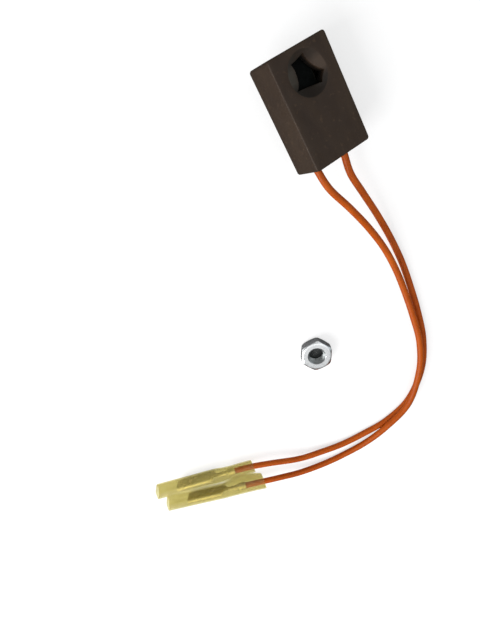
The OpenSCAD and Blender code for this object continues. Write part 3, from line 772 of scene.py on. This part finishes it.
def wire(t):
    """Closed over the conductor, wings folded in."""
    y, z = -0.70 * np.cos(t * math.pi), 0.72 * np.sin(t * math.pi)
    fold = np.maximum(t - 0.8, 0) / 0.2
    return y - 0.55 * fold, np.where(t > 0.8, np.maximum(z, 0.10), z)


def wrap(t):
    """Wraps the insulation."""
    turn = t * math.pi * 0.97
    return -1.17 * np.cos(turn), 1.17 * np.sin(turn)


def strip_ring(station, first, second, blend, reach, y_scale):
    """Outline of the strip's section: first blended into second, out to reach of its half."""
    t = np.linspace(-1, 1, 65) * reach
    (y_first, z_first), (y_second, z_second) = first(np.abs(t)), second(np.abs(t))
    y = (y_first + (y_second - y_first) * blend) * y_scale
    z = (z_first + (z_second - z_first) * blend) * np.sign(t)
    slope_y, slope_z = np.gradient(y), np.gradient(z)
    length = np.maximum(np.hypot(slope_y, slope_z), 1e-9)
    off_y, off_z = slope_z / length * SHEET_HALF, -slope_y / length * SHEET_HALF
    x = np.full(len(t), station - SETBACK)
    outer = np.stack([x, y + off_y, z + off_z], -1)
    inner = np.stack([x, y - off_y, z - off_z], -1)
    return np.vstack([outer, inner[::-1]])


def receptacle_stations():
    """Arguments of strip_ring, from the insulation crimp to the open mouth."""
    rows = [(s, wrap, wrap, 0, 1.0, 1.0 + 0.02 * math.sin(s * 5))
            for s in np.linspace(7.6, 10.2, 6)]
    rows += [(10.3, wrap, wire, 0.15, 0.5, 1.0), (10.7, wrap, wire, 0.6, 0.36, 1.0),
             (10.95, wrap, wire, 0.95, 0.5, 1.0)]
    for s in np.linspace(11.0, 14.0, 10):   # conductor crimp, pressed in at intervals
        press = 0.07 * (0.5 + 0.5 * math.cos((s - 11) * 2 * math.pi))
        rows.append((s, wire, wire, 0, 1.0, 1.0 - press))
    for f in np.linspace(0, 1, 7):          # neck
        rows.append((14.1 + 1.7 * f, wire, body, f * f * (3 - 2 * f), 0.42 + 0.05 * f, 1.0))
    rows += [(s, body, body, 0, reach, 1.0) for s, reach in ((15.9, 0.62), (16.2, 0.8), (16.9, 1.0))]
    rows += [(s, body, body, 0, 1.0, 1.0) for s in np.linspace(17.4, 28.6, 16)]
    rows += [(29.0, body, body, 0, 0.995, 1.01), (29.35, body, body, 0, 0.97, 1.05),
             (29.5, body, body, 0, 0.95, 1.07)]
    return rows


def receptacle(side):
    rings = np.array([strip_ring(*row) for row in receptacle_stations()])
    verts, faces = grid(rings, caps=False)
    count, size = rings.shape[:2]
    for base in (0, (count - 1) * size):    # close the strip's two ends
        for j in range(size // 2 - 1):
            quad = (base + j, base + j + 1, base + size - 2 - j, base + size - 1 - j)
            faces.append(quad if base else quad[::-1])
    angle = circle(20)
    dimple = []                             # pressed inward from the flat back
    for radius, rise in ((0.62, 0.0), (0.5, 0.1), (0.3, 0.17), (0.1, 0.2)):
        dimple.append(np.stack([DIMPLE_X + radius * np.cos(angle), np.full(20, -0.62 + rise),
                                radius * np.sin(angle)], -1))
    dimple_verts, dimple_faces = grid(dimple)
    parts = [(place(verts, side), faces), (place(dimple_verts, side), dimple_faces)]
    return join("receptacle_" + side, parts, BRASS, 38)


def strands(side):
    """Nineteen twisted strands through the conductor crimp, cut off just beyond it."""
    angle = circle(8)
    lay = [(0, 0)] + [(0.2, i * 60) for i in range(6)] + [(0.385, i * 30) for i in range(12)]
    parts = []
    for k, (radius, start) in enumerate(lay):
        rings = []
        for s in np.linspace(9.4, 14.75 - 0.25 * ((k * 7) % 5) / 4, 20):
            turn = math.radians(start) + s * 0.55
            squeeze = 1 - 0.12 * math.exp(-((s - 12.5) / 1.3) ** 2)
            rings.append(np.stack([np.full(8, s - SETBACK),
                                   radius * math.cos(turn) * squeeze + 0.098 * np.cos(angle),
                                   radius * math.sin(turn) + 0.098 * np.sin(angle)], -1))
        verts, faces = grid(rings)
        parts.append((place(verts, side), faces))
    return join("strands_" + side, parts, COPPER, 50)


def sleeve(side, phase, rounder):
    """Flattened nylon tube, slightly wavy, with both ends cut on a slant."""
    table = SLEEVE_STATIONS.copy()
    table[:, [1, 2, 4]] += rounder * table[:, 5:]
    stations = np.concatenate([[0, 0.08, 0.2], np.linspace(0.6, SLEEVE_LENGTH - 0.6, 60),
                               SLEEVE_LENGTH - np.array([0.2, 0.08, 0])])
    columns = []
    for k in range(1, 5):                   # a running mean softens the corners
        column = np.interp(stations, table[:, 0], table[:, k])
        columns.append(np.convolve(np.pad(column, 2, mode="edge"), np.ones(5) / 5, "valid"))
    angle = 2 * math.pi * (np.arange(64) + 0.5) / 64
    cos, sin = np.cos(angle), np.sin(angle)
    oval_y, oval_z = np.sign(cos) * np.abs(cos) ** 0.42, np.sign(sin) * np.abs(sin) ** 0.42
    outer, inner = [], []
    for x, width, thick, shift_z, shift_y in zip(stations, *columns):
        wave = 0.035 * math.sin(x * 0.45 + phase) + 0.02 * math.sin(x * 1.3 + 2 * phase)
        left = SLEEVE_LENGTH - x
        rounding = 0.10 * max(0, 1 - min(x, left) / 0.15)
        lean = 0.25 * max(0, 1 - x / 4) + 0.16 * max(0, 1 - left / 4)
        for change, rings in ((-0.03 - rounding * 2, outer), (-0.7 + rounding, inner)):
            y, z = (thick + change) / 2 * oval_y, (width + change) / 2 * oval_z
            rings.append(np.stack([x - lean * z, y + shift_y + wave * 0.2,
                                   z + shift_z + wave * 0.3], -1))
    verts, faces = grid(outer + inner[::-1], loop=True)
    return mesh_object("nylon_sleeve_" + side, place(verts, side), faces, NYLON, 60)


for side, phase, rounder in (("a", 0.4, 1), ("b", 2.1, 0)):
    obj = receptacle(side)
    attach(obj, "connector_" + side)
    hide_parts("terminal_" + side)
    obj = strands(side)
    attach(obj, "connector_" + side)
    obj = sleeve(side, phase, rounder)
    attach(obj, "slip_" + side)
    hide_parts("sleeve_" + side)


# ------------------------------------------------------------------ carried-over CAD nodes
# (material, bevel width, nodes)
FINISHES = [
    (COVER, 0.08, "rear_cover"),
    (SCREW, 0.08, "cover_screws"),
    (STRIP, 0.05, "calibration_screw stack_rivets"),
    (CERAMIC, 0.04, "spacer_rear spacer_middle spacer_front"),
    (STRIP, 0.03, "terminal_strip fixed_contact_strip"),
    (SILVER, 0.05, "fixed_contact moving_contact"),
    (BRONZE, 0.02, "contact_arm"),
    (BLACK, 0.03, "sensing_blade"),
    (CERAMIC, 0.05, "pusher_pin"),
    (STRIP, 0.04, "ferrule_a ferrule_b"),
    (COPPER, 0, "conductor_a conductor_b conductor_a_tail conductor_b_tail"
                " conductor_a_end conductor_b_end")]

for mat, width, names in FINISHES:
    for name in names.split():
        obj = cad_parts[name]
        obj.data.materials.clear()
        obj.data.materials.append(mat)
        if width:
            mod = obj.modifiers.new("edge", "BEVEL")
            mod.width, mod.segments = width * MM, 2
            mod.limit_method, mod.angle_limit = "ANGLE", math.radians(40)


# ------------------------------------------------------------------ stage, light, camera
def paper():
    """White paper, bright to the camera and dimmer to reflections, with painted shade in the nut's
    hole.
    """
    mat = new_material("paper_white")
    vec = mat.coord()
    rays = mat.node("LightPath").outputs
    white = mat.ramp(mat.noise(vec, scale=40), [(0.3, (0.93,) * 3), (0.7, (0.95,) * 3)])
    # painted shade: where little sky reaches the floor near the nut, it turns dark and stops glowing
    open_sky = mat.out("AmbientOcclusion", {"Distance": 0.008}, "AO", samples=12)
    from_nut = mat.vector("DISTANCE", mat.out("NewGeometry", socket="Position"),
                          (NUT_X * MM, NUT_Y * MM, FLOOR * MM))
    clear = mat.math("MAXIMUM", mat.remap(open_sky, (0.42, 0.7)),
                     mat.remap(from_nut, (0.0034, 0.0050)))
    color = mat.mix(rays["Is Camera Ray"], white, (0.42, 0.42, 0.42))
    color = mat.mix(clear, (0.05, 0.055, 0.055), color)
    color = mat.mix(rays["Is Glossy Ray"], color, (0.16, 0.16, 0.16))
    normal = mat.bump(mat.noise(vec, scale=1500, detail=3), strength=0.03, dist=0.0001)
    glow = mat.times(mat.times(rays["Is Camera Ray"], clear), 0.62)
    return mat.principled(color, 0.75, normal, spec=0.15,
                          Emission_Color=(1, 1, 1), Emission_Strength=glow)


def floor(half=1.6):
    """Square sheet just below the lowest parts; half is in metres."""
    mesh = bpy.data.meshes.new("floor")
    corners = ((-half, -half), (half, -half), (half, half), (-half, half))
    mesh.from_pydata([(x, y, FLOOR * MM - 1e-5) for x, y in corners], [], [(0, 1, 2, 3)])
    obj = bpy.data.objects.new("floor", mesh)
    bpy.context.scene.collection.objects.link(obj)
    mesh.materials.append(paper())


def studio():
    """Plain light, a lit ceiling over dark walls in reflections, and a white backdrop."""
    world = Shader(bpy.data.worlds.new("studio"), "OutputWorld")
    bpy.context.scene.world = world.owner
    plain = world.out("Background", {"Strength": 0.45})
    height = world.out("SeparateXYZ", {0: world.out("TexCoord", socket="Generated")}, "Z")
    levels = ((0.05, 0.05), (0.35, 0.10), (0.55, 0.45), (0.75, 0.9), (0.95, 1))
    ceiling = world.ramp(height, [(position, (grey,) * 3) for position, grey in levels])
    room = world.out("Background", {"Color": ceiling, "Strength": 0.62})
    backdrop = world.out("Background", {"Color": (1, 1, 1), "Strength": 1.1})
    rays = world.node("LightPath").outputs
    lit = world.mix_shader(rays["Is Glossy Ray"], plain, room)
    world.finish(world.mix_shader(rays["Is Camera Ray"], lit, backdrop))


def area(name, loc, size, power, color=(1, 1, 1), target=(-0.04, -0.045, 0)):
    """Square area light aimed at target; places and size are in metres."""
    light = bpy.data.lights.new(name, "AREA")
    light.shape, light.size, light.size_y = "RECTANGLE", size, size
    light.energy, light.color = power, color
    obj = bpy.data.objects.new(name, light)
    obj.location = loc
    obj.rotation_mode = "QUATERNION"
    obj.rotation_quaternion = (Vector(target) - Vector(loc)).to_track_quat("-Z", "Y")
    bpy.context.scene.collection.objects.link(obj)


def camera():
    cam = bpy.data.cameras.new("camera")
    cam.sensor_width, cam.lens = 36.0, 30.3
    cam.clip_start, cam.clip_end = 0.01, 20
    obj = bpy.data.objects.new("camera", cam)
    bpy.context.scene.collection.objects.link(obj)
    loc = Vector((-11.11, 17.32, 152.6)) * MM
    look = Vector((-44.147, -44.217, -6.24)) * MM
    back = (loc - look).normalized()
    right = Vector((0.4330, 0.8065, -0.40255)).cross(back).normalized()
    obj.matrix_world = Matrix((right, back.cross(right), back, loc)).transposed().to_4x4() \
        if False else Matrix([(*row, place) for *row, place in
                              zip(right, back.cross(right), back, loc)] + [(0, 0, 0, 1)])
    bpy.context.scene.camera = obj


floor()
studio()
area("key", (-0.52, -0.16, 0.38), size=0.5, power=4.5)
area("fill", (0.42, -0.10, 0.42), size=0.6, power=0.6, color=(0.88, 0.95, 1.0))
area("top", (0.02, -0.05, 0.85), size=0.9, power=1.6)
camera()
bpy.context.scene.view_settings.view_transform = "Standard"
bpy.context.scene.view_settings.look = "None"

bpy.context.view_layer.update()
